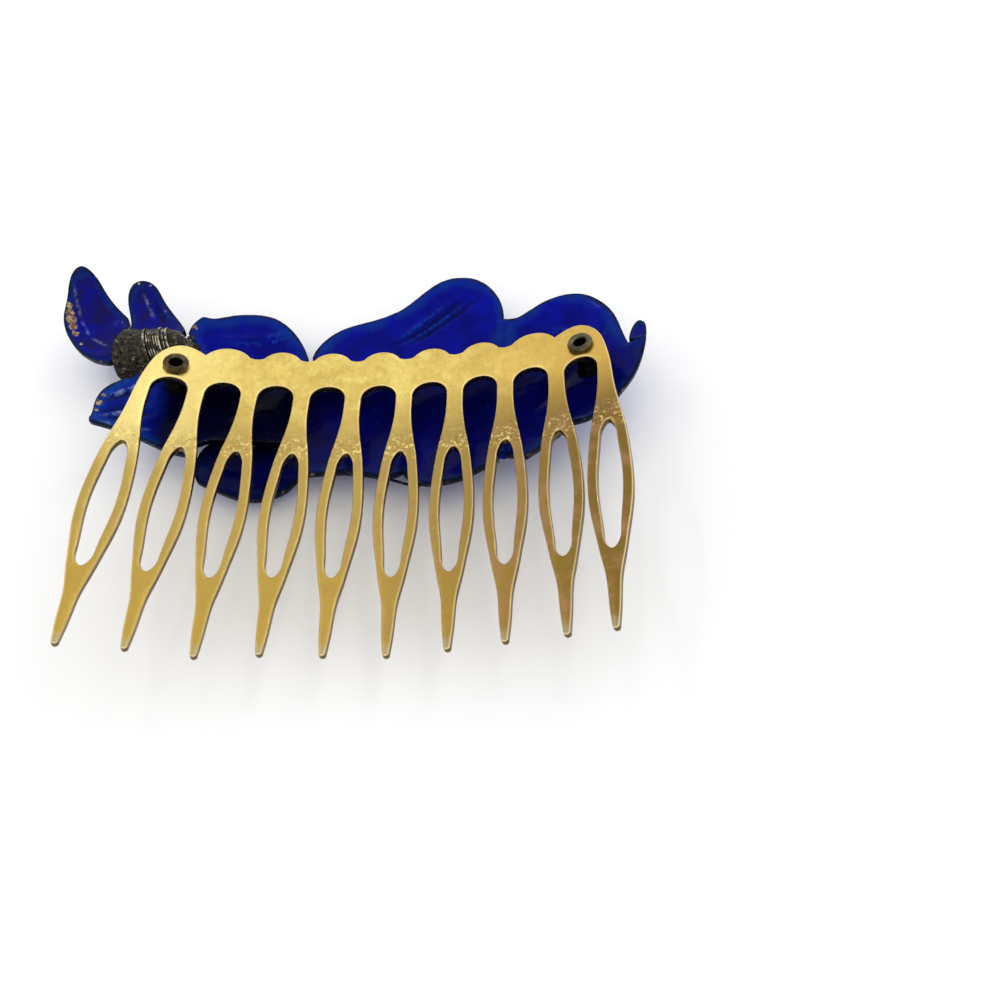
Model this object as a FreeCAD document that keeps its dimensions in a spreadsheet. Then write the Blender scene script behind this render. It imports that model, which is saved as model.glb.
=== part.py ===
import FreeCAD, Part

import math
import os

from FreeCAD import Placement, Rotation, Vector

# Decorative hair comb, in millimetres.  A bent, stamped brass comb carries an enamelled spray of
# leaves and one blossom.  The piece lies on the front of the spray: +Z is the back of the comb,
# +Y runs from the tips of the teeth to the bar, and X runs along the bar.
# The comb is laid out flat as (across, along) and bent about an axis parallel to its teeth.

# ---------------------------------------------------------------- driving dimensions

# Alias and value of each cell.  A leaf is a shallow dish: x, y and low place its lowest point,
# radius bends it.
DIMENSIONS = (
    ("shift_x", 4.38),
    ("shift_y", -7.73),
    ("shift_z", 4.88),
    ("comb_radius", 84.7),
    ("comb_thickness", 0.9),
    ("tooth_pitch", 5.4),
    ("scallop_foot", 0.75),
    ("cutter_above", 8.0),
    ("cutter_below", 10.0),
    ("bend_length", 60.0),
    ("rivet_across", 21.6),
    ("rivet_along", 16.45),
    ("rivet_bore", 0.6),
    ("rivet_barrel", 1.0),
    ("rivet_shoulder", 1.35),
    ("rivet_lip", 1.27),
    ("rivet_crown", 0.7),
    ("rivet_foot", 5.0),
    ("rivet_floor", 2.2),
    ("hole_gap", 0.02),
    ("rim_width", 0.3),
    ("rim_proud", 0.08),
    ("back_enamel", 0.2),
    ("plate_thickness", 0.35),
    ("front_enamel", 0.3),
    ("vein_width", 0.24),
    ("vein_height", 0.16),
    ("left_leaf_x", -8.0),
    ("left_leaf_y", 16.5),
    ("left_leaf_low", -2.9),
    ("left_leaf_radius", 36.0),
    ("centre_leaf_x", 3.0),
    ("centre_leaf_y", 16.5),
    ("centre_leaf_low", -3.7),
    ("centre_leaf_radius", 55.0),
    ("right_leaf_x", 10.0),
    ("right_leaf_y", 16.0),
    ("right_leaf_low", -2.8),
    ("right_leaf_radius", 36.0),
    ("curled_tip_x", 26.0),
    ("curled_tip_y", 19.0),
    ("curled_tip_low", 1.5),
    ("curled_tip_radius", 8.0),
    ("lower_leaf_x", -12.0),
    ("lower_leaf_y", 7.0),
    ("lower_leaf_low", -3.87),
    ("lower_leaf_radius", 16.0),
    ("small_leaf_x", -15.0),
    ("small_leaf_y", 9.0),
    ("small_leaf_low", -1.6),
    ("small_leaf_radius", 40.0),
    ("back_petal_x", -32.0),
    ("back_petal_y", 24.0),
    ("back_petal_low", -0.6),
    ("back_petal_radius", 12.0),
    ("side_petal_x", -26.5),
    ("side_petal_y", 25.0),
    ("side_petal_low", 0.0),
    ("side_petal_radius", 12.0),
    ("front_petal_x", -30.5),
    ("front_petal_y", 25.5),
    ("front_petal_low", -4.03),
    ("front_petal_radius", 12.0),
    ("calyx_mouth", 3.1),
    ("calyx_neck", 1.4),
    ("calyx_length", 7.6),
    ("calyx_wall", 0.3),
    ("calyx_floor", 0.4),
    ("coil_wire", 0.22),
    ("stem_radius", 0.55),
    ("stem_length", 2.4),
    ("bead_radius", 0.95),
    ("bead_cup_radius", 1.15),
    ("bead_cup_height", 0.5),
    ("bead_cup_floor", 0.15),
    ("edge_wire_radius", 0.16),
    ("edge_wire_length", 3.7),
    ("solder_radius", 0.42),
)

doc = FreeCAD.newDocument("hair_comb")
sheet = doc.addObject("Spreadsheet::Sheet", "size")
for row, (alias, value) in enumerate(DIMENSIONS, start=1):
    sheet.set(f"A{row}", alias)
    sheet.set(f"B{row}", str(value))
    sheet.setAlias(f"B{row}", alias)
doc.recompute()


def dim(alias):
    """Value of one cell of the sheet."""
    return float(getattr(sheet, alias))


# ---------------------------------------------------------------- outlines

# Half the width of a tooth at each place along it, from its neck to just above its tip.
TOOTH = ((13.0, 0.885), (10.5, 0.9), (8.0, 1.15), (5.0, 1.63), (1.5, 2.0), (-2.0, 2.15),
         (-5.0, 1.98), (-8.0, 1.5), (-10.3, 1.1), (-12.3, 0.72), (-15.0, 0.53), (-17.2, 0.32))
TOOTH_TIP = -17.55
GAP_TOP = 14.8
# Half of the eye inside a tooth, from its top to its foot.
EYE = ((5.4, 0.0), (4.9, 0.45), (3.2, 0.84), (0.0, 1.12), (-2.0, 1.19),
       (-5.0, 1.03), (-7.6, 0.8), (-9.2, 0.46), (-9.6, 0.0))
# The round shoulder of the bar and the outer side of an end tooth, from the last valley down.
SHOULDER = ((18.9, 18.6), (20.1, 19.3), (21.5, 19.6), (22.8, 19.0), (23.7, 17.9),
            (24.4, 15.8), (24.8, 13.6), (25.05, 10.8), (25.4, 8.0))
VALLEY = 18.6
VALLEY_EDGE = 18.8
CREST = 19.9
TEETH = 10

# Each leaf is a list of smooth stretches, with a corner where two of them meet.
OUTLINES = {
    "left_leaf": (
        ((-22.1, 23.6), (-21.6, 25.2), (-20.8, 26.2)),
        ((-20.8, 26.2), (-19.6, 26.3), (-17.9, 27.0), (-15.8, 27.5), (-13.2, 27.3),
         (-11.2, 25.9), (-9.8, 23.9), (-8.9, 21.6), (-8.95, 15.0), (-9.2, 9.0)),
        ((-9.2, 9.0), (-12.9, 9.3), (-16.3, 9.0), (-17.6, 8.5), (-18.4, 7.4)),
        ((-18.4, 7.4), (-19.7, 10.0), (-20.1, 15.0), (-20.6, 20.5), (-22.1, 23.6)),
    ),
    "centre_leaf": (
        ((-8.45, 21.9), (-7.3, 24.5), (-5.2, 26.4), (-2.9, 27.4), (1.6, 29.5), (5.7, 32.6),
         (7.9, 33.0), (9.9, 32.5), (11.7, 31.0), (12.9, 28.7), (13.15, 25.9)),
        ((13.15, 25.9), (13.0, 15.0), (12.9, 7.0), (12.4, 4.9)),
        ((12.4, 4.9), (10.2, 3.7), (8.5, 2.8), (6.7, 2.45), (5.2, 2.5), (3.7, 3.2), (2.7, 4.7)),
        ((2.7, 4.7), (2.0, 4.15), (-0.5, 4.2), (-3.1, 4.6), (-5.3, 4.3), (-6.9, 3.9)),
        ((-6.9, 3.9), (-8.3, 7.0), (-8.75, 13.0), (-8.45, 21.9)),
    ),
    "right_leaf": (
        ((13.3, 25.8), (14.8, 25.7), (16.8, 26.6), (19.1, 27.2), (21.7, 26.8), (23.8, 25.2),
         (25.4, 22.5), (26.1, 19.6), (26.5, 18.0)),
        ((26.5, 18.0), (28.45, 18.2)),
        ((28.45, 18.2), (27.9, 16.0), (26.9, 13.5), (24.6, 10.6), (22.6, 9.0), (20.3, 8.7)),
        ((20.3, 8.7), (17.2, 5.8), (15.3, 4.1)),
        ((15.3, 4.1), (14.2, 4.7), (13.1, 4.9)),
        ((13.1, 4.9), (13.1, 12.0), (13.3, 25.8)),
    ),
    "curled_tip": (
        ((26.5, 18.05), (26.85, 19.4), (27.3, 20.3), (27.8, 20.7), (28.3, 20.4), (28.5, 19.5),
         (28.5, 18.25)),
        ((28.5, 18.25), (26.5, 18.05)),
    ),
    "lower_leaf": (
        ((-7.7, 5.8), (-8.4, 4.9), (-9.4, 3.6), (-10.8, 2.8), (-12.3, 2.45), (-15.5, 3.2),
         (-18.4, 4.4)),
        ((-18.4, 4.4), (-19.0, 6.5), (-18.6, 8.8), (-17.0, 10.5), (-14.0, 11.3), (-10.5, 11.0),
         (-8.2, 9.2), (-7.7, 5.8)),
    ),
    "small_leaf": (
        ((-30.1, 10.3), (-29.75, 11.3), (-29.75, 12.6), (-29.3, 14.6), (-27.3, 16.6),
         (-23.5, 18.6), (-20.9, 19.0)),
        ((-20.9, 19.0), (-20.45, 15.0), (-20.0, 10.0), (-19.0, 7.3)),
        ((-19.0, 7.3), (-22.2, 7.9), (-24.4, 8.9), (-27.3, 9.9), (-30.1, 10.3)),
    ),
    "back_petal": (
        ((-30.2, 27.6), (-31.0, 28.4), (-33.2, 30.9), (-34.2, 32.2), (-35.4, 32.7),
         (-36.5, 31.9), (-37.1, 29.5), (-37.25, 27.0), (-36.1, 24.3), (-34.4, 22.4),
         (-32.1, 20.9), (-30.4, 20.3)),
        ((-30.4, 20.3), (-29.9, 23.0), (-29.7, 25.5), (-30.2, 27.6)),
    ),
    "side_petal": (
        ((-29.3, 25.0), (-29.8, 27.8), (-30.1, 29.9), (-29.7, 31.0), (-28.5, 31.6),
         (-27.2, 31.1), (-26.3, 29.8), (-25.0, 27.9), (-23.7, 26.1), (-22.4, 23.8)),
        ((-22.4, 23.8), (-25.2, 24.3), (-27.2, 24.9), (-29.3, 25.0)),
    ),
    "front_petal": (
        ((-28.2, 22.7), (-30.8, 22.9), (-32.9, 24.6), (-33.6, 27.0), (-32.6, 29.0),
         (-30.4, 29.3), (-28.2, 27.4)),
        ((-28.2, 27.4), (-27.9, 25.0), (-28.2, 22.7)),
    ),
}

# Veins on the front of a leaf: start point, length and direction in degrees of each wire.
VEINS = {
    "left_leaf": ((-20.0, 14.0, 10.4, 20.0), (-18.0, 15.6, 8.0, 65.0), (-15.4, 16.6, 8.6, 62.0),
                  (-16.6, 14.6, 5.2, -55.0), (-13.4, 15.8, 5.6, -48.0)),
    "centre_leaf": ((-7.4, 8.6, 25.2, 52.0), (-3.2, 14.8, 9.8, 95.0), (1.0, 20.2, 7.6, 98.0),
                    (-4.6, 11.6, 9.4, -6.0), (-0.4, 17.4, 10.6, -2.0), (3.6, 22.6, 8.0, 2.0)),
    "right_leaf": ((14.4, 8.6, 15.6, 42.0), (17.4, 12.0, 9.8, 92.0), (21.0, 15.2, 8.4, 84.0),
                   (16.2, 10.6, 5.2, -12.0), (20.2, 14.2, 5.6, -16.0)),
    "lower_leaf": ((-17.4, 8.6, 8.8, -22.0), (-15.0, 7.4, 3.4, -68.0), (-13.6, 7.2, 3.2, 40.0),
                   (-11.8, 6.4, 3.0, -62.0)),
    "small_leaf": ((-28.6, 11.4, 8.2, 24.0), (-26.6, 12.5, 3.6, 66.0), (-24.0, 13.6, 3.8, 62.0),
                   (-25.6, 12.6, 3.4, -38.0), (-23.0, 13.8, 4.2, -50.0)),
}


# ---------------------------------------------------------------- helpers

def bind(thing, **formulas):
    """Bind properties of an object to the sheet; a double underscore stands for a dot."""
    for prop, formula in formulas.items():
        thing.setExpression(prop.replace("__", "."), formula)
    return thing


def place(thing, x, y, z, turn=Rotation()):
    """Put an object at a point given by formulas, in the frame of the finished part."""
    thing.Placement = Placement(Vector(), turn)
    bind(thing, Placement__Base__x=f"{x} + size.shift_x",
         Placement__Base__y=f"{y} + size.shift_y",
         Placement__Base__z=f"{z} + size.shift_z")
    return thing


def add(kind, name, **formulas):
    """A new object of the document with its sizes bound to the sheet."""
    return bind(doc.addObject(kind, name), **formulas)


def boolean(kind, name, base, tool):
    """Cut or common part of two objects."""
    result = doc.addObject(kind, name)
    result.Base = base
    result.Tool = tool
    return result


def fused(name, shapes):
    """Several touching or separate solids joined into one object."""
    result = doc.addObject("Part::MultiFuse", name)
    result.Shapes = shapes
    return result


def spline(points, closed=False):
    """Smooth plane curve through the points."""
    curve = Part.BSplineCurve()
    curve.interpolate([Vector(x, y, 0) for x, y in points], PeriodicFlag=closed)
    return curve


def straight_or_smooth(points):
    """A line for two points, else a smooth curve."""
    if len(points) == 2:
        return Part.LineSegment(Vector(*points[0], 0), Vector(*points[1], 0))
    return spline(points)


def plane_arc(start, through, end):
    """Arc through three plane points."""
    return Part.Arc(Vector(*start, 0), Vector(*through, 0), Vector(*end, 0))


def prism(name, profile):
    """A tall upright prism over a profile, which passes right through the part."""
    solid = add("Part::Extrusion", name, LengthFwd="size.cutter_above",
                LengthRev="size.cutter_below")
    solid.Base = profile
    solid.DirMode = "Custom"
    solid.Dir = Vector(0, 0, 1)
    solid.Solid = True
    return solid


ALONG_TEETH = Rotation(Vector(1, 0, 0), 90)
finished = []


def finish(thing, label):
    """Name a finished piece; the label names its file."""
    thing.Label = label
    finished.append(thing)
    return thing


# ---------------------------------------------------------------- comb

def bent(across, along):
    """Plan position, seen from above, of a point of the flat comb once it is bent."""
    radius = dim("comb_radius")
    return radius * math.sin(across / radius), along


def comb_outline(sketch):
    """Outer edge of the comb: the bar with its scallops and the ten teeth."""
    pitch = dim("tooth_pitch")
    before = None
    for index in range(TEETH):
        middle = (index - (TEETH - 1) / 2) * pitch
        left = [bent(middle - half, along) for along, half in TOOTH]
        right = [bent(middle + half, along) for along, half in TOOTH]
        if index == 0:
            lobe = [bent(-across, along) for across, along in SHOULDER]
            left = lobe + left[3:]
        if index == TEETH - 1:
            lobe = [bent(across, along) for across, along in SHOULDER]
            right = lobe + right[3:]
        sketch.addGeometry(spline(left))
        sketch.addGeometry(plane_arc(left[-1], bent(middle, TOOTH_TIP), right[-1]))
        sketch.addGeometry(spline(right[::-1]))
        if before:
            crown = bent(middle - pitch / 2, GAP_TOP)
            sketch.addGeometry(plane_arc(before, crown, left[0]))
        before = right[0]


def bar_scallops(sketch):
    """Row of scallops along the top of the bar, with a rounded valley between two of them."""
    pitch = dim("tooth_pitch")
    foot = dim("scallop_foot")
    valleys = [(index - (TEETH - 3) / 2) * pitch for index in range(TEETH - 2)]
    here = bent(valleys[0], VALLEY)
    for start, end in zip(valleys, valleys[1:]):
        last = end == valleys[-1]
        there = bent(end, VALLEY) if last else bent(end - foot, VALLEY_EDGE)
        sketch.addGeometry(plane_arc(here, bent((start + end) / 2, CREST), there))
        if not last:
            here = bent(end + foot, VALLEY_EDGE)
            sketch.addGeometry(plane_arc(there, bent(end, VALLEY), here))


def tooth_eyes(sketch):
    """The long eye inside each tooth."""
    pitch = dim("tooth_pitch")
    mirror = [(along, -half) for along, half in EYE[-2:0:-1]]
    for index in range(TEETH):
        middle = (index - (TEETH - 1) / 2) * pitch
        loop = [bent(middle + half, along) for along, half in list(EYE) + mirror]
        sketch.addGeometry(spline(loop, closed=True))


def bent_sheet(name, inner, outer):
    """Cylindrical sheet between two radii, its axis above the comb and along its teeth."""
    shells = []
    for part, radius in (("inner", inner), ("outer", outer)):
        tube = add("Part::Cylinder", f"{name}_{part}", Radius=radius,
                   Height="size.bend_length")
        shells.append(place(tube, 0, "size.bend_length / 2", "size.comb_radius", ALONG_TEETH))
    return boolean("Part::Cut", name, shells[1], shells[0])


def rivet_turn(side):
    """Lean of a rivet, square to the bent comb; side is -1 for left and 1 for right."""
    lean = math.degrees(dim("rivet_across") / dim("comb_radius"))
    return Rotation(Vector(0, 1, 0), -side * lean)


def rivet_place(thing, side, depth="0"):
    """Put an object on a rivet's axis, at a depth in front of the back surface of the comb."""
    angle = "size.rivet_across / size.comb_radius * 1 rad"
    return place(thing, f"{side} * (size.comb_radius + {depth}) * sin({angle})",
                 "size.rivet_along",
                 f"size.comb_radius - (size.comb_radius + {depth}) * cos({angle})",
                 rivet_turn(side))


def rivet_drill(side, name, radius):
    """Cylinder along a rivet's axis, a little wider than the given radius."""
    drill = add("Part::Cylinder", name, Radius=f"{radius} + size.hole_gap",
                Height="size.rivet_foot * 2")
    return rivet_place(drill, side, "size.rivet_foot")


def make_comb():
    """Stamped and bent comb with its two rivet holes."""
    sketch = doc.addObject("Sketcher::SketchObject", "comb_sketch")
    comb_outline(sketch)
    bar_scallops(sketch)
    tooth_eyes(sketch)
    place(sketch, 0, 0, 0)
    blank = prism("comb_prism", sketch)
    bend = bent_sheet("comb_bend", "size.comb_radius", "size.comb_radius + size.comb_thickness")
    body = boolean("Part::Common", "comb_blank", blank, bend)
    for side, name in ((-1, "left"), (1, "right")):
        drill = rivet_drill(side, f"{name}_hole", "size.rivet_barrel")
        body = boolean("Part::Cut", f"comb_cut_{name}", body, drill)
    finish(body, "comb")


# ---------------------------------------------------------------- leaves and petals

def dish(name, leaf, depth):
    """Ball whose underside is the dish of a leaf, a given depth in front of its back face."""
    ball = add("Part::Sphere", name, Radius=f"size.{leaf}_radius + {depth}")
    return place(ball, f"size.{leaf}_x", f"size.{leaf}_y",
                 f"size.{leaf}_low + size.{leaf}_radius", ALONG_TEETH)


def layer(name, leaf, prism_solid, back, front):
    """Part of a prism between two depths of a leaf's dish."""
    shell = boolean("Part::Cut", f"{name}_shell", dish(f"{name}_front_ball", leaf, front),
                    dish(f"{name}_back_ball", leaf, back))
    return boolean("Part::Common", f"{name}_layer", prism_solid, shell)


def leaf_prisms(leaf):
    """Prisms over the whole outline of a leaf and over the part inside its rim."""
    curves = [straight_or_smooth(stretch) for stretch in OUTLINES[leaf]]
    sketch = doc.addObject("Sketcher::SketchObject", f"{leaf}_sketch")
    for curve in curves:
        sketch.addGeometry(curve)
    place(sketch, 0, 0, 0)
    outline = Part.Wire([curve.toShape() for curve in curves])
    inner = doc.addObject("Part::Feature", f"{leaf}_inner")
    inner.Shape = outline.makeOffset2D(-dim("rim_width")).toNurbs()
    place(inner, 0, 0, 0)
    return prism(f"{leaf}_outer_prism", sketch), prism(f"{leaf}_inner_prism", inner)


PLATE_BACK = "size.back_enamel"
PLATE_FRONT = "size.back_enamel + size.plate_thickness"
LEAF_FRONT = "size.back_enamel + size.plate_thickness + size.front_enamel"


def make_leaf(leaf, drill=None):
    """Rim wire, metal plate and the enamel on both faces of one leaf."""
    outer, inner = leaf_prisms(leaf)
    band = boolean("Part::Cut", f"{leaf}_band", outer, inner)
    finish(layer(f"{leaf}_rim", leaf, band, "-size.rim_proud", LEAF_FRONT), f"{leaf}_rim")
    finish(layer(f"{leaf}_plate", leaf, inner, PLATE_BACK, PLATE_FRONT), f"{leaf}_plate")
    back = layer(f"{leaf}_back", leaf, inner, "0", PLATE_BACK)
    if drill:
        back = boolean("Part::Cut", f"{leaf}_back_drilled", back, drill)
    finish(back, f"{leaf}_back_enamel")
    finish(layer(f"{leaf}_front", leaf, inner, PLATE_FRONT, LEAF_FRONT), f"{leaf}_front_enamel")
    return inner


def make_veins(leaf, inner):
    """Flat wires that stand on the front enamel of a leaf."""
    strips = []
    for number, (x, y, length, direction) in enumerate(VEINS[leaf], start=1):
        strip = add("Part::Box", f"{leaf}_vein_{number}", Width="size.vein_width",
                    Height="size.cutter_above + size.cutter_below")
        strip.Length = length
        strips.append(place(strip, x, y, "-size.cutter_below",
                            Rotation(Vector(0, 0, 1), direction)))
    web = fused(f"{leaf}_vein_web", strips)
    inside = boolean("Part::Common", f"{leaf}_vein_inside", web, inner)
    finish(layer(f"{leaf}_veins", leaf, inside, LEAF_FRONT, f"{LEAF_FRONT} + size.vein_height"),
           f"{leaf}_veins")


# ---------------------------------------------------------------- rivets

def make_rivet(side, name, leaf):
    """Hollow rivet: a post on the leaf's plate, a shoulder under the comb and a rolled head."""
    body = doc.addObject("PartDesign::Body", f"{name}_body")
    plane = next(item for item in body.Origin.OriginFeatures if item.Role == "XZ_Plane")
    sketch = body.newObject("Sketcher::SketchObject", f"{name}_profile")
    sketch.AttachmentSupport = [(plane, "")]
    sketch.MapMode = "FlatFace"
    bore = dim("rivet_bore")
    barrel = dim("rivet_barrel")
    shoulder = dim("rivet_shoulder")
    under = -dim("comb_thickness")
    foot = -dim("rivet_foot")
    floor = -dim("rivet_floor")
    lip = dim("rivet_lip")
    crown = dim("rivet_crown")
    corners = [(bore, crown / 2), (bore, floor), (0, floor), (0, foot), (shoulder, foot),
               (shoulder, under), (barrel, under), (barrel, 0), (lip, 0)]
    for start, end in zip(corners, corners[1:]):
        sketch.addGeometry(Part.LineSegment(Vector(*start, 0), Vector(*end, 0)))
    sketch.addGeometry(plane_arc(corners[-1], ((bore + lip) / 2, crown), corners[0]))
    turning = body.newObject("PartDesign::Revolution", f"{name}_turning")
    turning.Profile = sketch
    turning.ReferenceAxis = (sketch, ["V_Axis"])
    turning.Angle = 360
    body.Tip = turning
    rivet_place(body, side)
    seat = dish(f"{name}_seat", leaf, PLATE_BACK)
    finish(boolean("Part::Common", f"{name}_trimmed", body, seat), name)


# ---------------------------------------------------------------- blossom

CALYX_NECK = Vector(-22.0, 22.0, 0.6)
CALYX_AXIS = Vector(-0.982, -0.03, -0.175)
COIL_TURNS = 9


def along_axis(distance):
    """Point on the axis of the calyx at a distance from its neck."""
    return CALYX_NECK + CALYX_AXIS * (distance / CALYX_AXIS.Length)


def put_on_axis(thing, distance):
    """Put an object on the axis of the calyx, opening toward the mouth."""
    point = along_axis(distance)
    return place(thing, point.x, point.y, point.z, Rotation(Vector(0, 0, 1), CALYX_AXIS))


def make_calyx():
    """Hollow cone that holds the petals, open at its mouth."""
    outside = add("Part::Cone", "calyx_outside", Radius1="size.calyx_neck",
                  Radius2="size.calyx_mouth", Height="size.calyx_length")
    inside = add("Part::Cone", "calyx_inside", Radius1="size.calyx_neck - size.calyx_wall",
                 Radius2="size.calyx_mouth - size.calyx_wall", Height="size.calyx_length")
    put_on_axis(outside, 0)
    put_on_axis(inside, dim("calyx_floor"))
    finish(boolean("Part::Cut", "calyx_cut", outside, inside), "calyx_cup")


def make_coil():
    """Rings of wire wound around the calyx."""
    rings = []
    length = dim("calyx_length")
    for turn in range(COIL_TURNS):
        share = (turn + 0.5) / COIL_TURNS
        ring = add("Part::Torus", f"coil_ring_{turn + 1}", Radius2="size.coil_wire",
                   Radius1=f"size.calyx_neck + (size.calyx_mouth - size.calyx_neck) * {share}"
                           " + size.coil_wire")
        rings.append(put_on_axis(ring, share * length))
    finish(fused("coil_rings", rings), "calyx_coil")


def make_stem():
    """Short stem from the neck of the calyx to the left leaf."""
    stem = add("Part::Cylinder", "stem_rod", Radius="size.stem_radius", Height="size.stem_length")
    place(stem, CALYX_NECK.x, CALYX_NECK.y, CALYX_NECK.z,
          Rotation(Vector(0, 0, 1), Vector(0.85, 0.1, -0.45)))
    finish(stem, "stem")


def make_bead():
    """Bead in the mouth of the blossom and the cup that holds it."""
    spot = (-31.2, 24.4, -2.45)
    bead = add("Part::Sphere", "bead_ball", Radius="size.bead_radius")
    place(bead, *spot)
    cup = add("Part::Cylinder", "bead_cup_solid", Radius="size.bead_cup_radius",
              Height="size.bead_cup_height")
    hollow = add("Part::Sphere", "bead_cup_hollow", Radius="size.bead_radius")
    place(cup, spot[0], spot[1], f"{spot[2]} - size.bead_radius - size.bead_cup_floor")
    place(hollow, *spot)
    finish(bead, "bead")
    finish(boolean("Part::Cut", "bead_cup_cut", cup, hollow), "bead_cup")


# ---------------------------------------------------------------- joints of the spray

# Spots where neighbouring leaves and petals are soldered together.
SOLDER_SPOTS = ((-20.5, 17.0, -0.7), (-19.2, 8.6, -1.1), (-8.8, 19.5, -2.4), (-8.9, 11.0, -2.2),
                (13.15, 23.0, -1.9), (13.0, 9.0, -2.5), (-14.0, 9.4, -2.9), (-8.2, 7.4, -2.9),
                (-29.7, 24.6, -0.5), (-29.9, 22.0, -0.5), (-25.6, 24.2, 0.1), (-28.3, 23.6, -3.9),
                (-28.2, 26.0, -3.9))


def make_solder():
    """Small lumps of solder that join the spray."""
    lumps = []
    for number, spot in enumerate(SOLDER_SPOTS, start=1):
        lump = add("Part::Sphere", f"solder_lump_{number}", Radius="size.solder_radius")
        lumps.append(place(lump, *spot))
    finish(fused("solder_lumps", lumps), "solder_joints")


def make_edge_wire():
    """Thin wire that bridges the notch in the lower edge of the centre leaf."""
    wire = add("Part::Cylinder", "edge_wire_rod", Radius="size.edge_wire_radius",
               Height="size.edge_wire_length")
    place(wire, 1.1, 3.95, -2.3, Rotation(Vector(0, 0, 1), Vector(0.92, -0.38, 0.08)))
    finish(wire, "edge_wire")


# ---------------------------------------------------------------- build

make_comb()
LEAF_DRILLS = {"small_leaf": rivet_drill(-1, "small_leaf_drill", "size.rivet_shoulder"),
               "right_leaf": rivet_drill(1, "right_leaf_drill", "size.rivet_shoulder")}
for leaf_name in OUTLINES:
    inner_prism = make_leaf(leaf_name, LEAF_DRILLS.get(leaf_name))
    if leaf_name in VEINS:
        make_veins(leaf_name, inner_prism)
make_rivet(-1, "left_rivet", "small_leaf")
make_rivet(1, "right_rivet", "right_leaf")
make_calyx()
make_coil()
make_stem()
make_bead()
make_solder()
make_edge_wire()

doc.recompute()

for thing in doc.Objects:
    if "Invalid" in thing.State or "Error" in thing.State:
        raise RuntimeError(f"{thing.Name} ({thing.Label}) is in state {thing.State}")
os.makedirs("parts", exist_ok=True)
for thing in finished:
    shape = thing.Shape
    if shape.isNull() or not shape.isValid() or not shape.Solids:
        raise RuntimeError(f"{thing.Label} has no valid solid")
    shape.exportStep(f"parts/{thing.Label}.step")
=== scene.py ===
"""Looks of the decorative hair comb: gilt comb, hollow rivets, enamelled leaves and blossom.

Lengths in this script are millimetres in the comb's own frame: x across from the middle of the
comb, y along the teeth, z up from the back face of the comb at its middle. to_part() turns them
into the frame of the finished part.
"""

import math

import bmesh
import bpy
import numpy as np
from mathutils import Matrix, Vector, noise
from mathutils.geometry import delaunay_2d_cdt


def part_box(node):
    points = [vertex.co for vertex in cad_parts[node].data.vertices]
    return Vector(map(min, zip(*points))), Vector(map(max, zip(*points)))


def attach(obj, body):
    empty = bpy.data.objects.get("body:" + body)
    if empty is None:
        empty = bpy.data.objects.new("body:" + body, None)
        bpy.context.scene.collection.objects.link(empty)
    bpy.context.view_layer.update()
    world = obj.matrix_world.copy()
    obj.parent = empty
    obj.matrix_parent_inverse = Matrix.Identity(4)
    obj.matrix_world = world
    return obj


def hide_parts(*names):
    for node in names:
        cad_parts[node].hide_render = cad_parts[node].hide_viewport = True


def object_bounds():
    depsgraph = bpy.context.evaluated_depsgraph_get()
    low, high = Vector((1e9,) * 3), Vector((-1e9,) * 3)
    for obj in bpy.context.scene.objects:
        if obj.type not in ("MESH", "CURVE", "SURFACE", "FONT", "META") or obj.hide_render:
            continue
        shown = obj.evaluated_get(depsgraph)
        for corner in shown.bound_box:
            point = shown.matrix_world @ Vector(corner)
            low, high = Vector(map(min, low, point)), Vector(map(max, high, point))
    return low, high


MM = 0.001
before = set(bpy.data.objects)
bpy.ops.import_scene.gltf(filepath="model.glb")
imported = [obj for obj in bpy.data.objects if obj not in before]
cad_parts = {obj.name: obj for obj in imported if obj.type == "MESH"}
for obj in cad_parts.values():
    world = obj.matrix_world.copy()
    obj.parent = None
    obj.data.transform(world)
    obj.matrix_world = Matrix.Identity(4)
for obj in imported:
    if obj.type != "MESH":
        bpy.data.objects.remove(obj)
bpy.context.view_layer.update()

# ---- sizes shared with the CAD

COMB_RADIUS = 84.7
THICKNESS = 0.9
PITCH = 5.4
TEETH = 10
TIP_ALONG = -17.55
GAP_TOP = 14.8
VALLEY = 18.6
VALLEY_EDGE = 18.8
SCALLOP_FOOT = 0.75
CREST = 19.9
RIVET_ACROSS = 21.6
RIVET_ALONG = 16.45
BACK_ENAMEL = 0.2
PLATE = 0.35
FRONT_ENAMEL = 0.3
RIM_WIDTH = 0.3
WALL_SEEN = 0.12

# Half the width of a tooth at each place along it.
TOOTH = ((13.0, 0.885), (10.5, 0.9), (8.0, 1.15), (5.0, 1.63), (1.5, 2.0), (-2.0, 2.15),
         (-5.0, 1.98), (-8.0, 1.5), (-10.3, 1.1), (-12.3, 0.72), (-15.0, 0.53), (-17.2, 0.32))
# Half of the eye inside a tooth, from its top to its foot.
EYE = ((5.4, 0.0), (4.9, 0.45), (3.2, 0.84), (0.0, 1.12), (-2.0, 1.19),
       (-5.0, 1.03), (-7.6, 0.8), (-9.2, 0.46), (-9.6, 0.0))
# Round shoulder of the bar and the outer side of an end tooth.
SHOULDER = ((18.9, 18.6), (20.1, 19.3), (21.5, 19.6), (22.8, 19.0), (23.7, 17.9),
            (24.4, 15.8), (24.8, 13.6), (25.05, 10.8), (25.4, 8.0))

comb_low, comb_high = (Vector(corner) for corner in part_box("comb"))
COMB_ORIGIN = Vector(((comb_low.x + comb_high.x) / 2, comb_low.y - TIP_ALONG * MM,
                      comb_low.z + THICKNESS * MM))


def to_part(point):
    """Point of the comb's frame in millimetres, as a point of the part in metres."""
    return COMB_ORIGIN + Vector(point) * MM


# ---- curves and meshes

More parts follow.
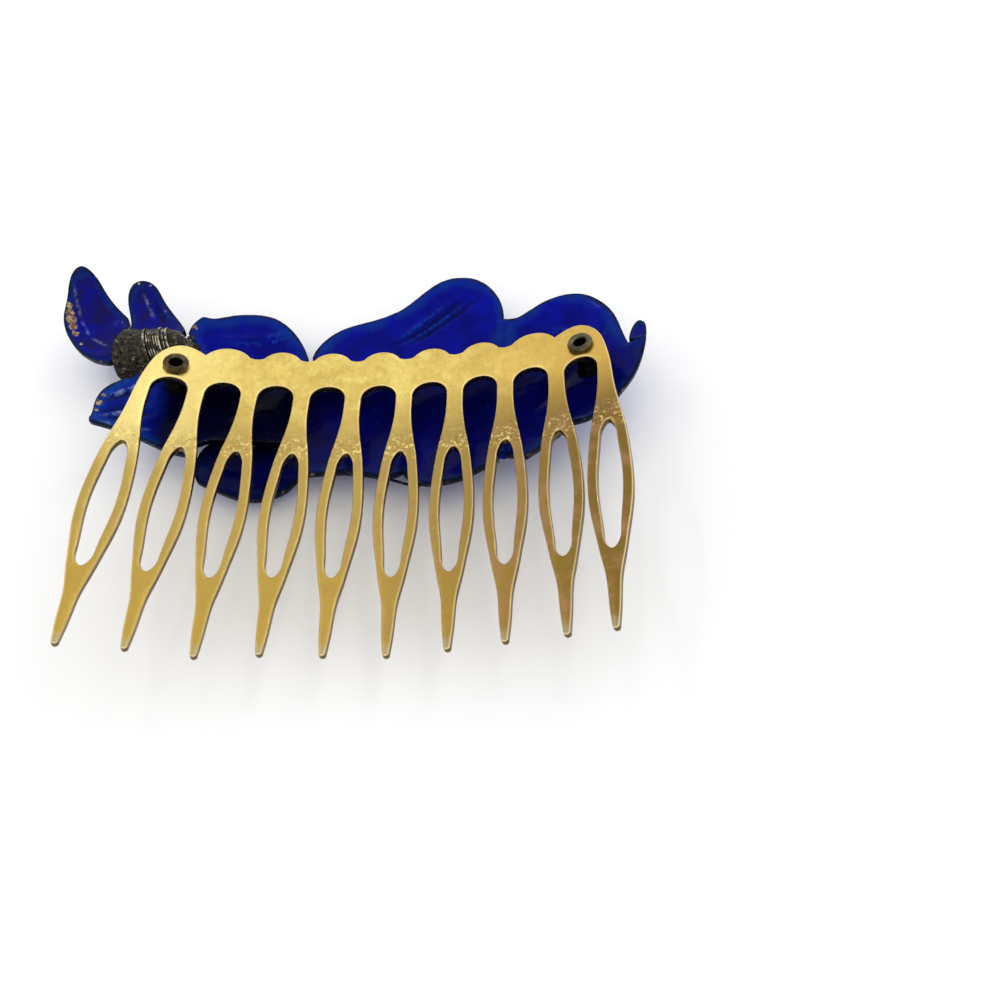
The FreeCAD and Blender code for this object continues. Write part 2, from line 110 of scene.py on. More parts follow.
def smooth_curve(points, step=0.25, closed=False):
    """Natural cubic spline through the points, sampled about every step."""
    way = np.array(points, float)
    if closed:
        way = np.vstack([way[-3:], way, way[:3]])
    run = np.concatenate([[0], np.cumsum(np.linalg.norm(np.diff(way, axis=0), axis=1))])
    gap = np.diff(run)
    count = len(way)
    system = np.eye(count)
    target = np.zeros_like(way)
    for i in range(1, count - 1):
        system[i, i - 1:i + 2] = gap[i - 1], 2 * (gap[i - 1] + gap[i]), gap[i]
        target[i] = 6 * ((way[i + 1] - way[i]) / gap[i] - (way[i] - way[i - 1]) / gap[i - 1])
    bend = np.linalg.solve(system, target)
    first, last = (3, count - 3) if closed else (0, count - 1)
    total = run[last] - run[first]
    places = np.linspace(run[first], run[last], max(3, int(total / step) + 1))
    if closed:
        places = places[:-1]
    index = np.clip(np.searchsorted(run, places, side="right") - 1, 0, count - 2)
    width = gap[index][:, None]
    left = (run[index + 1] - places)[:, None]
    right = (places - run[index])[:, None]
    return ((bend[index] * left ** 3 + bend[index + 1] * right ** 3) / (6 * width)
            + (way[index] / width - bend[index] * width / 6) * left
            + (way[index + 1] / width - bend[index + 1] * width / 6) * right)


def arc(start, through, end, step=0.2):
    """Points of the circle arc through three plane points."""
    (ax, ay), (bx, by), (cx, cy) = start, through, end
    d = 2 * (ax * (by - cy) + bx * (cy - ay) + cx * (ay - by))
    ux = ((ax * ax + ay * ay) * (by - cy) + (bx * bx + by * by) * (cy - ay)
          + (cx * cx + cy * cy) * (ay - by)) / d
    uy = ((ax * ax + ay * ay) * (cx - bx) + (bx * bx + by * by) * (ax - cx)
          + (cx * cx + cy * cy) * (bx - ax)) / d
    radius = math.hypot(ax - ux, ay - uy)
    angle_a, angle_b, angle_c = (math.atan2(y - uy, x - ux) for x, y in (start, through, end))
    sweep = (angle_c - angle_a) % (2 * math.pi)
    if (angle_b - angle_a) % (2 * math.pi) > sweep:
        sweep -= 2 * math.pi
    count = max(4, int(abs(sweep) * radius / step))
    angles = angle_a + sweep * np.linspace(0, 1, count + 1)
    return np.stack([ux + radius * np.cos(angles), uy + radius * np.sin(angles)], axis=1)


def add_piece(name, shape, material, node, attributes=None):
    """Mesh piece that stands for a CAD node; shape is points in the comb's frame, and faces."""
    mesh = bpy.data.meshes.new(name)
    points, faces = shape
    mesh.from_pydata([to_part(point) for point in points], [], [list(face) for face in faces])
    for key, values in (attributes or {}).items():
        layer = mesh.attributes.new(key, "FLOAT", "POINT")
        layer.data.foreach_set("value", np.asarray(values, dtype=np.float32))
    mesh.validate()
    work = bmesh.new()
    work.from_mesh(mesh)
    bmesh.ops.recalc_face_normals(work, faces=work.faces)
    work.to_mesh(mesh)
    work.free()
    mesh.shade_smooth()
    mesh.materials.append(material)
    piece = bpy.data.objects.new(name, mesh)
    bpy.context.scene.collection.objects.link(piece)
    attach(piece, "root")
    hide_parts(node)
    return piece


def joined(parts):
    """Several (points, faces) meshes as one."""
    points, faces = [], []
    for more_points, more_faces in parts:
        offset = len(points)
        points.extend(tuple(point) for point in more_points)
        faces.extend([index + offset for index in face] for face in more_faces)
    return points, faces


def spokes(side, other, count):
    """Unit vectors spread evenly round the plane of side and other."""
    turns = [2 * math.pi * k / count for k in range(count)]
    return [math.cos(turn) * side + math.sin(turn) * other for turn in turns]


def strip(here, there, sides):
    """Faces between two rings of points, given by their first points."""
    return [(here + k, here + (k + 1) % sides, there + (k + 1) % sides, there + k)
            for k in range(sides)]


def caps(sides, rings):
    """End faces of a stack of rings."""
    return [tuple(range(sides - 1, -1, -1)), tuple(range((rings - 1) * sides, rings * sides))]


def swept_tube(path, radius, sides=8, closed=False, wobble=0.0):
    """Round tube along a path of 3-D points; radius may be a number or one per point."""
    way = [Vector(point) for point in path]
    count = len(way)
    radii = [radius] * count if isinstance(radius, (int, float)) else [float(r) for r in radius]
    points, faces = [], []
    side = None
    for i, point in enumerate(way):
        ahead = way[(i + 1) % count] if closed or i < count - 1 else way[i]
        behind = way[i - 1] if closed or i > 0 else way[i]
        along = (ahead - behind).normalized()
        if side is None:
            side = along.orthogonal().normalized()
        side = (side - along * side.dot(along)).normalized()
        for k, spoke in enumerate(spokes(side, along.cross(side), sides)):
            reach = radii[i] * (1 + wobble * noise.noise(point * 2.3 + Vector((k, 0, 0))))
            points.append(point + reach * spoke)
    for i in range(count if closed else count - 1):
        faces += strip(i * sides, ((i + 1) % count) * sides, sides)
    if not closed:
        faces += caps(sides, count)
    return points, faces


def turned(profile, centre, axis, sides=48, dent=0.0):
    """Solid of revolution: profile is (distance along the axis, radius), closed at radius 0."""
    axis = Vector(axis).normalized()
    side = axis.orthogonal().normalized()
    spread = spokes(side, axis.cross(side), sides)
    points, faces = [], []
    for along, radius in profile:
        for spoke in spread:
            point = Vector(centre) + axis * along + spoke * radius
            lump = dent * noise.noise(point * 1.7)
            points.append(point + spoke * lump + axis * lump * 0.5)
    for i in range(len(profile) - 1):
        faces += strip(i * sides, (i + 1) * sides, sides)
    return points, faces + caps(sides, len(profile))


# ---- material building

class Nodes:
    """Small helper to build one Principled material."""

    def __init__(self, name, **values):
        self.material = bpy.data.materials.new(name)
        self.material.use_nodes = True
        self.tree = self.material.node_tree
        self.shader = self.tree.nodes["Principled BSDF"]
        for key, value in values.items():
            self.shader.inputs[key.replace("_", " ")].default_value = value
        self.place = None

    def add(self, kind, **settings):
        """New node with its settings and unlinked inputs."""
        node = self.tree.nodes.new(kind)
        for key, value in settings.items():
            if hasattr(node, key):
                setattr(node, key, value)
            else:
                node.inputs[key.replace("_", " ")].default_value = value
        return node

    def link(self, source, target):
        """Joins an output to an input."""
        self.tree.links.new(source, target)

    def scaled(self, vector, factors):
        """Coordinates multiplied by a factor for each axis."""
        node = self.add("ShaderNodeVectorMath", operation="MULTIPLY")
        node.inputs[1].default_value = factors
        self.link(vector, node.inputs[0])
        return node.outputs[0]

    def noise(self, scale, detail=3.0, rough=0.55, stretch=None):
        """Noise value, with its scale per millimetre in the part's frame."""
        if self.place is None:
            coordinates = self.add("ShaderNodeTexCoord").outputs["Object"]
            self.place = self.scaled(coordinates, (1 / MM, 1 / MM, 1 / MM))
        node = self.add("ShaderNodeTexNoise", Scale=scale, Detail=detail, Roughness=rough)
        vector = self.scaled(self.place, stretch) if stretch else self.place
        self.link(vector, node.inputs["Vector"])
        return node.outputs["Fac"]

    def ramp(self, value, stops):
        """Colour ramp over (position, colour) stops."""
        node = self.add("ShaderNodeValToRGB")
        ramp = node.color_ramp
        while len(ramp.elements) < len(stops):
            ramp.elements.new(0.5)
        for element, (position, colour) in zip(ramp.elements, stops):
            element.position = position
            element.color = (*colour, 1.0)
        self.link(value, node.inputs["Fac"])
        return node.outputs["Color"]

    def map(self, value, low, high, new_low=0.0, new_high=1.0):
        """Value moved from one range to another, clamped."""
        node = self.add("ShaderNodeMapRange")
        for index, number in enumerate((low, high, new_low, new_high), start=1):
            node.inputs[index].default_value = number
        self.link(value, node.inputs["Value"])
        return node.outputs["Result"]

    def mix(self, factor, first, second):
        """Colour mix; first and second are outputs or colours."""
        node = self.add("ShaderNodeMix", data_type="RGBA")
        for socket, value in (("A", first), ("B", second)):
            target = [item for item in node.inputs if item.name == socket][2]
            if isinstance(value, tuple):
                target.default_value = (*value, 1.0)
            else:
                self.link(value, target)
        self.link(factor, node.inputs["Factor"])
        return node.outputs[2]

    def layers(self, tone, layers):
        """Colours laid over a tone one after another, each with its factor."""
        for factor, colour in layers:
            tone = self.mix(factor, tone, colour)
        return tone

    def times(self, first, second):
        """Product of two values."""
        return self.math("MULTIPLY", first, second)

    def math(self, operation, first, second):
        """Math on outputs or numbers."""
        node = self.add("ShaderNodeMath", operation=operation)
        for index, value in enumerate((first, second)):
            if isinstance(value, (int, float)):
                node.inputs[index].default_value = value
            else:
                self.link(value, node.inputs[index])
        return node.outputs[0]

    def attribute(self, name):
        """Value stored on the mesh."""
        node = self.add("ShaderNodeAttribute", attribute_name=name)
        return node.outputs["Fac"]

    def bump(self, height, distance, strength=1.0, before=None):
        """Bump in metres of height."""
        node = self.add("ShaderNodeBump", Strength=strength, Distance=distance)
        self.link(height, node.inputs["Height"])
        if before:
            self.link(before, node.inputs["Normal"])
        return node.outputs["Normal"]

    def to(self, socket, output):
        """Links an output to an input of the shader."""
        self.link(output, self.shader.inputs[socket])


def gilt_brass():
    """Finely brushed, lightly tarnished gilding of the comb.

    The mesh carries the place across and along the comb, and marks the cut walls for painted
    shade and the rounded edges for a painted highlight.
    """
    n = Nodes("gilt_brass", Metallic=1.0, Roughness=0.3)
    along = n.attribute("along")
    across = n.attribute("across")
    cloud = n.noise(0.22, 4.0, 0.6)
    forks = n.times(n.map(along, 8.2, 6.4), n.map(along, 4.0, 5.4))
    rosy = n.times(n.map(across, -8.0, 12.0, 0.1, 0.6), n.map(along, 9.0, 4.0))
    streaks = n.noise(1.5, 5.0, 0.7, (1.0, 0.6, 1.0))
    tone = n.mix(n.map(cloud, 0.35, 0.68), (0.79, 0.6, 0.165), (0.62, 0.45, 0.11))
    n.to("Base Color", n.layers(tone, (
        # Polished patches, then dull streaks.
        (n.map(n.noise(0.55, 4.0, 0.65), 0.5, 0.62, 0.0, 0.5), (0.88, 0.72, 0.24)),
        (n.map(streaks, 0.48, 0.62, 0.0, 0.45), (0.5, 0.35, 0.08)),
        # Darker to the right, down the necks and at the feet.
        (n.map(across, 4.0, 24.0, 0.0, 0.7), (0.56, 0.32, 0.06)),
        (n.map(along, 13.5, 6.0, 0.0, 0.85), (0.4, 0.27, 0.07)),
        (n.map(along, -7.0, -10.0, 0.0, 0.7), (0.46, 0.3, 0.055)),
        (n.times(n.map(across, -2.0, 22.0, 0.0, 0.75), n.map(along, 14.0, 7.0)),
         (0.12, 0.066, 0.014)),
        # Painted highlight on the necks on the left, then painted glints and dark specks where
        # the teeth fork.
        (n.times(n.map(across, -14.0, -22.0, 0.0, 0.8), n.map(along, 2.0, 8.0)),
         (0.9, 0.74, 0.27)),
        (n.times(forks, n.map(n.noise(2.4, 4.0, 0.7), 0.53, 0.64, 0.0, 0.8)),
         (1.0, 0.8, 0.3)),
        (n.times(forks, n.map(n.noise(3.1, 3.0, 0.6), 0.42, 0.36, 0.0, 0.5)),
         (0.14, 0.08, 0.02)),
        # Rosy spots, specks and paler tips.
        (n.times(rosy, n.map(n.noise(0.5, 4.0), 0.45, 0.65)), (0.36, 0.19, 0.09)),
        (n.map(n.noise(3.2, 2.0), 0.66, 0.74, 0.0, 0.4), (0.3, 0.2, 0.06)),
        (n.map(along, -16.2, -17.2, 0.0, 0.5), (0.42, 0.38, 0.26)),
        # Painted shade on the cut walls, painted highlight on the rounded edges.
        (n.map(n.attribute("wall"), 0.35, 0.95, 0.0, 0.85), (0.1, 0.065, 0.02)),
        (n.map(n.attribute("edge"), 0.2, 1.0, 0.0, 0.6), (0.95, 0.78, 0.42)))))
    brushed = n.noise(1.6, 3.0, 0.7, (0.5, 7.0, 7.0))
    n.to("Roughness", n.math("ADD", n.map(brushed, 0.3, 0.7, 0.24, 0.38),
                             n.map(cloud, 0.3, 0.7, -0.04, 0.06)))
    brushing = n.bump(brushed, 0.000015, 0.5)
    grain = n.bump(n.noise(5.5, 3.0, 0.6), 0.00003, 0.5, brushing)
    dents = n.bump(n.times(forks, n.noise(1.1, 1.0, 0.4)), 0.0004, 0.6, grain)
    n.to("Normal", n.bump(n.noise(0.7, 2.0), 0.00012, 0.5, dents))
    return n.material


def rivet_brass(name, low, high):
    """Patina of a rivet: low is the colour of its hollows and high of its rubbed spots."""
    n = Nodes(name, Metallic=1.0, Roughness=0.34)
    patches = n.noise(0.8, 3.0, 0.5)
    tone = n.mix(n.map(patches, 0.4, 0.68), low, high)
    # Painted shade, nearly black, on the low part of the rivet: its foot under the comb and its
    # deep bore.
    n.to("Base Color", n.mix(n.attribute("painted_shade_low"), tone, (0.004, 0.0035, 0.003)))
    n.to("Roughness", n.map(patches, 0.3, 0.7, 0.45, 0.28))
    n.to("Normal", n.bump(n.noise(2.6), 0.00006, 0.6))
    return n.material


def enamel(name, deep, bright, edge, ridge_highlight, gloss=0.14, band=1.3):
    """Glassy enamel: deep in the middle of a leaf and paler in a band along its rim.

    The mesh carries the distance from the rim, masks for the painted shade in the grooves and
    the painted highlight on the ridges, the worn spots, and how far a point lies under the comb,
    for a painted shadow of the comb.
    """
    n = Nodes(name, Roughness=gloss, Specular_IOR_Level=0.03)
    rim = n.attribute("rim")
    cloud = n.noise(0.35, 4.0, 0.6)
    reach = n.math("ADD", rim, n.times(n.math("SUBTRACT", cloud, 0.5), 3.4))
    rubbed = n.math("ADD", n.attribute("worn"), n.noise(2.2, 5.0, 0.8))
    copper = n.mix(n.map(n.noise(3.0), 0.45, 0.6), (0.16, 0.075, 0.02),
                   (0.5, 0.38, 0.2))
    body = n.mix(n.map(cloud, 0.4, 0.62), deep, bright)
    n.to("Base Color", n.layers(body, (
        (n.map(reach, 0.1, band, 0.75, 0.0), edge),
        # Painted shade in the narrow grooves.
        (n.attribute("groove_shade"), (0.001, 0.003, 0.03)),
        (n.times(n.map(rim, 0.05, 0.4, 1.0, 0.0),
                 n.map(n.noise(0.9), 0.36, 0.56, 0.0, 0.9)), (0.006, 0.01, 0.02)),
        # Painted highlight along the sharp ridges.
        (n.times(n.attribute("ridge_glint"), n.map(n.noise(2.0), 0.4, 0.6, 0.0, 0.9)),
         ridge_highlight),
        # Painted shadow of the comb over the leaves under it.
        (n.attribute("shade"), (0.0008, 0.0008, 0.006)),
        (n.map(rubbed, 1.24, 1.42, 0.0, 0.9), copper))))
    n.to("Roughness", n.map(n.noise(0.8), 0.35, 0.7, gloss * 0.8, gloss * 1.6))
    ripple = n.bump(n.noise(0.45, 2.0, 0.4), 0.0003, 0.4)
    pits = n.map(n.noise(2.4, 1.0), 0.7, 0.78)
    n.to("Normal", n.bump(pits, 0.00005, 0.7, ripple))
    return n.material


def worn_metal(name, dark, gold, amount=0.5, rough=0.38):
    """Thin oxidised metal with flecks of the gilding left on it."""
    n = Nodes(name, Metallic=1.0, Roughness=rough)
    wear = n.noise(1.3, 4.0, 0.65)
    edge = 0.62 - 0.22 * amount
    n.to("Base Color", n.mix(n.map(wear, edge, edge + 0.1), dark, gold))
    n.to("Roughness", n.map(wear, 0.35, 0.65, rough * 1.3, rough * 0.8))
    n.to("Normal", n.bump(n.noise(4.0), 0.00005, 0.7))
    return n.material


def mottled_silver(name, grain, depth):
    """Oxidised silver wire and solder, dark in its pits and worn bright on top."""
    n = Nodes(name, Metallic=1.0, Roughness=0.36)
    wear = n.noise(grain, 4.0, 0.7)
    n.to("Base Color", n.ramp(wear, ((0.36, (0.01, 0.009, 0.007)), (0.58, (0.045, 0.04, 0.03)),
                                     (0.74, (0.3, 0.27, 0.19)))))
    n.to("Roughness", n.map(wear, 0.35, 0.65, 0.55, 0.25))
    n.to("Normal", n.bump(wear, depth, 0.8))
    return n.material


def bead_glaze():
    """Cream bead with faint clouding."""
    n = Nodes("bead_glaze", Roughness=0.16, Subsurface_Weight=0.15, Subsurface_Scale=0.0006)
    n.to("Base Color", n.mix(n.map(n.noise(1.2), 0.4, 0.65), (0.82, 0.76, 0.62),
                             (0.68, 0.55, 0.38)))
    return n.material


GILT = gilt_brass()
RIVET_LEFT = rivet_brass("rivet_patina_left", (0.05, 0.036, 0.016), (0.16, 0.125, 0.06))
RIVET_RIGHT = rivet_brass("rivet_patina_right", (0.06, 0.054, 0.03), (0.18, 0.16, 0.09))
BACK_BLUE = enamel("cobalt_enamel", (0.0012, 0.0022, 0.15), (0.0015, 0.004, 0.25),
                   (0.003, 0.03, 0.24), (0.005, 0.04, 0.3))
PETAL_BLUE = enamel("petal_enamel", (0.008, 0.006, 0.08), (0.003, 0.005, 0.21),
                    (0.003, 0.02, 0.18), (0.15, 0.17, 0.33), 0.12, 0.6)
SMALL_BLUE = enamel("small_leaf_enamel", (0.002, 0.005, 0.18), (0.003, 0.018, 0.27),
                    (0.006, 0.06, 0.33), (0.24, 0.32, 0.55), 0.12, 1.0)
FRONT_BLUE = enamel("front_enamel", (0.003, 0.008, 0.33), (0.006, 0.04, 0.5),
                    (0.02, 0.22, 0.6), (0.05, 0.3, 0.6), 0.1)
RIM_METAL = worn_metal("rim_metal", (0.008, 0.011, 0.032), (0.25, 0.19, 0.1), 0.1)
GILT_WIRE = worn_metal("gilt_wire", (0.5, 0.33, 0.12), (0.85, 0.62, 0.27), 0.9, 0.28)
PLATE_METAL = worn_metal("plate_metal", (0.25, 0.14, 0.07), (0.5, 0.33, 0.14), 0.5)
COIL_SILVER = worn_metal("coil_silver", (0.05, 0.047, 0.04), (0.5, 0.45, 0.33), 0.6, 0.3)
SOLDER_SILVER = mottled_silver("solder_silver", 2.8, 0.00016)


# ---- comb

EDGE_ROUND = 0.2
# How far each tooth has been bent out of line at its tip: across and up.
TOOTH_BENDS = ((-0.5, 0.1), (-0.25, 0.3), (-0.2, -0.45), (0.1, 0.25), (0.05, 0.0),
               (0.05, -0.4), (0.0, 0.0), (-0.4, 0.3), (-0.5, 0.1), (-1.75, -0.1))


def comb_loops():
    """Flat outline of the comb and of the eyes in its teeth."""
    outer = []
    tops = []
    for index in range(TEETH):
        middle = (index - (TEETH - 1) / 2) * PITCH
        left = [(middle - half, along) for along, half in TOOTH]
        right = [(middle + half, along) for along, half in TOOTH]
        if index == 0:
            left = [(-across, along) for across, along in SHOULDER] + left[3:]
        if index == TEETH - 1:
            right = list(SHOULDER) + right[3:]
        if tops:
            outer.append(arc(tops[-1], (middle - PITCH / 2, GAP_TOP), left[0])[:-1])
        outer.append(smooth_curve(left)[:-1])
        outer.append(arc(left[-1], (middle, TIP_ALONG), right[-1], 0.08)[:-1])
        outer.append(smooth_curve(right[::-1])[:-1])
        tops.append(right[0])
    valleys = [(index - (TEETH - 3) / 2) * PITCH for index in range(TEETH - 2)]
    here = (valleys[-1], VALLEY)
    for start, end in zip(valleys[:0:-1], valleys[-2::-1]):
        there = (end, VALLEY) if end == valleys[0] else (end + SCALLOP_FOOT, VALLEY_EDGE)
        outer.append(arc(here, ((start + end) / 2, CREST), there)[:-1])
        if end != valleys[0]:
            here = (end - SCALLOP_FOOT, VALLEY_EDGE)
            outer.append(arc(there, (end, VALLEY), here)[:-1])
    loops = [np.vstack(outer)]
    for side in (-1, 1):
        turns = np.linspace(0, 2 * math.pi, 40, endpoint=False)
        loops.append(np.stack([side * RIVET_ACROSS + 0.98 * np.cos(turns),
                               RIVET_ALONG + 0.98 * np.sin(turns)], axis=1))
    mirror = [(along, -half) for along, half in EYE[-2:0:-1]]
    for index in range(TEETH):
        middle = (index - (TEETH - 1) / 2) * PITCH
        eye = [(middle + half, along) for along, half in list(EYE) + mirror]
        loops.append(smooth_curve(eye, 0.2, closed=True))
    return loops


def flat_comb():
    """Stamped blank with rounded edges, lying flat, as a mesh in millimetres."""
    curve = bpy.data.curves.new("comb_blank", "CURVE")
    curve.dimensions = "2D"
    curve.fill_mode = "BOTH"
    curve.extrude = THICKNESS / 2 - EDGE_ROUND
    curve.bevel_depth = EDGE_ROUND
    curve.bevel_resolution = 3
    curve.offset = -EDGE_ROUND
    for loop in comb_loops():
        spline = curve.splines.new("POLY")
        spline.points.add(len(loop) - 1)
        flat = np.zeros((len(loop), 4))
        flat[:, :2] = loop
        flat[:, 3] = 1
        spline.points.foreach_set("co", flat.ravel())
        spline.use_cyclic_u = True
    holder = bpy.data.objects.new("comb_blank", curve)
    bpy.context.scene.collection.objects.link(holder)
    ready = holder.evaluated_get(bpy.context.evaluated_depsgraph_get())
    mesh = bpy.data.meshes.new_from_object(ready)
    bpy.data.objects.remove(holder)
    bpy.data.curves.remove(curve)
    return mesh


def bent_point(across, along, height):
    """Point of the flat comb once it is bent and its teeth are knocked about a little."""
    tooth = min(TEETH - 1, max(0, round(across / PITCH + (TEETH - 1) / 2)))
    side, lift = TOOTH_BENDS[tooth]
    middle = (np.arange(TEETH) - (TEETH - 1) / 2) * PITCH
    even = float(np.interp(across, middle, [bend[0] for bend in TOOTH_BENDS]))
    share = min(1.0, max(0.0, (along - 11.5) / (GAP_TOP - 11.5)))
    side += (even - side) * share
    lean = max(0.0, (21.0 - along) / (21.0 - TIP_ALONG))
    curl = max(0.0, (9.0 - along) / (9.0 - TIP_ALONG)) ** 2
    radius = COMB_RADIUS - height
    angle = (across + side * lean) / COMB_RADIUS
    return (radius * math.sin(angle), along,
            COMB_RADIUS - radius * math.cos(angle) + lift * curl)


def make_comb():
    """Bent comb with rounded edges and a shallow dent where each tooth splits."""
    mesh = flat_comb()
    work = bmesh.new()
    work.from_mesh(mesh)
    bmesh.ops.remove_doubles(work, verts=work.verts, dist=0.0005)
    for low, high, step, normal in ((-28.0, 28.0, 0.7, (1, 0, 0)), (-16.5, 19.0, 1.1, (0, 1, 0))):
        for place in np.arange(low, high, step):
            bmesh.ops.bisect_plane(work, geom=work.verts[:] + work.edges[:] + work.faces[:],
                                   plane_co=(place, place, 0), plane_no=normal, dist=1e-5)
    work.verts.ensure_lookup_table()
    points = [vert.co.copy() for vert in work.verts]
    faces = [[vert.index for vert in face.verts] for face in work.faces]
    work.free()
    bpy.data.meshes.remove(mesh)
    bent = [bent_point(p.x, p.y, p.z - THICKNESS / 2) for p in points]
    # wall marks the cut walls for painted shade, edge the rounded edges for a painted highlight.
    values = {"across": [p.x for p in points], "along": [p.y for p in points],
              "wall": [float(abs(p.z) < THICKNESS / 2 - 0.9 * EDGE_ROUND) for p in points],
              "edge": [float(THICKNESS / 2 - 0.8 * EDGE_ROUND < abs(p.z)
                             < THICKNESS / 2 - 0.02) for p in points]}
    comb = add_piece("comb_gilt", (bent, faces), GILT, "comb", values)
    comb.modifiers.new("even_shading", "WEIGHTED_NORMAL").keep_sharp = True


# ---- leaves

# Creases of a leaf in the comb's frame: start, end, height (negative in a groove) and half width.
CREASES = {
    "centre_leaf": (
        ((0.9, 24.4), (8.3, 29.7), -0.36, 0.3),
        ((2.2, 24.4), (9.9, 29.6), -0.32, 0.28),
        ((0.9, 24.0), (9.0, 29.6), 0.1, 0.3),
        ((0.2, 24.6), (7.2, 30.0), 0.12, 0.35),
        ((-6.5, 12.0), (4.5, 22.0), 0.3, 1.6),
    ),
    "left_leaf": (
        ((-19.4, 23.6), (-14.0, 24.4), 0.26, 0.6),
        ((-14.2, 24.4), (-11.2, 25.8), 0.22, 0.5),
        ((-19.0, 23.2), (-13.6, 23.8), 0.06, 0.3),
        ((-13.8, 23.8), (-11.2, 25.1), 0.06, 0.26),
        ((-18.0, 12.0), (-11.0, 20.0), -0.3, 1.6),
    ),
    "right_leaf": (
        ((16.0, 12.0), (24.5, 21.0), -0.35, 1.0),
        ((17.5, 23.4), (24.0, 21.2), 0.15, 0.5),
    ),
    "lower_leaf": (
        ((-17.5, 7.5), (-9.0, 5.5), -0.25, 0.8),
    ),
    "small_leaf": (
        ((-29.4, 11.6), (-24.5, 14.4), -0.25, 0.24),
        ((-29.3, 11.1), (-24.2, 13.6), 0.12, 0.26),
        ((-28.6, 11.0), (-24.0, 12.6), -0.22, 0.24),
        ((-29.2, 13.2), (-24.5, 16.4), -0.22, 0.26),
        ((-29.0, 13.7), (-25.0, 16.8), 0.12, 0.28),
        ((-29.2, 10.5), (-23.5, 10.2), 0.14, 0.24),
    ),
    "back_petal": (
        ((-36.6, 31.2), (-35.6, 27.4), 0.09, 0.22),
        ((-35.6, 27.4), (-34.2, 25.1), 0.09, 0.22),
        ((-34.2, 25.1), (-31.6, 23.6), 0.09, 0.22),
    ),
    "side_petal": (
        ((-28.6, 30.4), (-26.8, 26.8), 0.08, 0.22),
        ((-27.2, 29.4), (-25.4, 26.0), -0.12, 0.3),
    ),
    "front_petal": (
        ((-32.8, 27.0), (-28.6, 25.2), 0.2, 0.7),
    ),
    "curled_tip": (),
}
# Spots where the enamel is rubbed through, with their reach.
WORN = {
    "back_petal": ((-36.9, 28.7, 0.7), (-36.7, 27.9, 0.9), (-36.5, 27.1, 1.0),
                   (-36.2, 26.3, 0.9), (-35.8, 25.4, 0.7), (-34.9, 24.0, 0.4)),
    "small_leaf": ((-29.4, 12.9, 0.7), (-29.1, 13.9, 0.5), (-29.5, 11.9, 0.5)),
    "left_leaf": ((-21.6, 24.6, 0.6), (-18.3, 26.9, 0.35), (-21.8, 23.2, 0.7)),
    "side_petal": ((-29.1, 31.3, 0.35), (-27.8, 31.2, 0.3)),
    "centre_leaf": ((5.7, 32.6, 0.3), (-0.9, 17.9, 0.2), (-3.4, 22.7, 0.2)),
}
HAMMER = {"centre_leaf": 0.16, "left_leaf": 0.16, "right_leaf": 0.18, "lower_leaf": 0.12}


def upper_rim(node):
    """Plane outline of a CAD plate's upper face and the ball its dish was cut from."""
    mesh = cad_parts[node].data
    place = np.empty(len(mesh.vertices) * 3)
    mesh.vertices.foreach_get("co", place)
    place = (place.reshape(-1, 3) - np.array(COMB_ORIGIN)) / MM
    seen = {}
    corners = set()
    for face in mesh.polygons:
        if face.normal.z < 0.35:
            continue
        keys = [tuple(np.round(place[i], 3)) for i in face.vertices]
        corners.update(keys)
        for a, b in zip(keys, keys[1:] + keys[:1]):
            if (b, a) in seen:
                del seen[(b, a)]
            else:
                seen[(a, b)] = True
    following = {a: b for a, b in seen}
    best = []
    while following:
        start, point = following.popitem()
        loop = [start]
        while point != start and point in following:
            loop.append(point)
            point = following.pop(point)
        if len(loop) > len(best):
            best = loop
    cloud = np.array(sorted(corners))
    system = np.column_stack([2 * cloud, np.ones(len(cloud))])
    fit = np.linalg.lstsq(system, (cloud ** 2).sum(axis=1), rcond=None)[0]
    radius = math.sqrt(fit[3] + (fit[:3] ** 2).sum())
    return np.array(best)[:, :2], fit[:3], radius


def even_loop(loop, step):
    """Closed loop with its long sides divided; its corners stay."""
    out = []
    for a, b in zip(loop, np.roll(loop, -1, axis=0)):
        length = np.linalg.norm(b - a)
        if length < 0.02:
            continue
        pieces = max(1, int(round(length / step)))
        out.extend(a + (b - a) * k / pieces for k in range(pieces))
    return np.array(out)


def inside(points, loop):
    """Which points lie inside a closed loop."""
    x, y = points[:, 0][:, None], points[:, 1][:, None]
    ax, ay = loop[:, 0], loop[:, 1]
    bx, by = np.roll(ax, -1), np.roll(ay, -1)
    crosses = (ay > y) != (by > y)
    slope = np.where(np.abs(by - ay) < 1e-12, 1e-12, by - ay)
    hits = crosses & (x < (bx - ax) * (y - ay) / slope + ax)
    return hits.sum(axis=1) % 2 == 1


def line_distance(points, start, end):
    """Distance from plane points to a straight stretch, and how far along it they are."""
    start, end = np.array(start), np.array(end)
    way = end - start
    share = np.clip(((points - start) @ way) / (way @ way), 0, 1)
    return np.linalg.norm(points - start - share[:, None] * way, axis=1), share


def loop_distance(points, loop):
    """Distance from plane points to the nearest side of a closed loop."""
    nearest = np.full(len(points), 1e9)
    for start, end in zip(loop, np.roll(loop, -1, axis=0)):
        nearest = np.minimum(nearest, line_distance(points, start, end)[0])
    return nearest


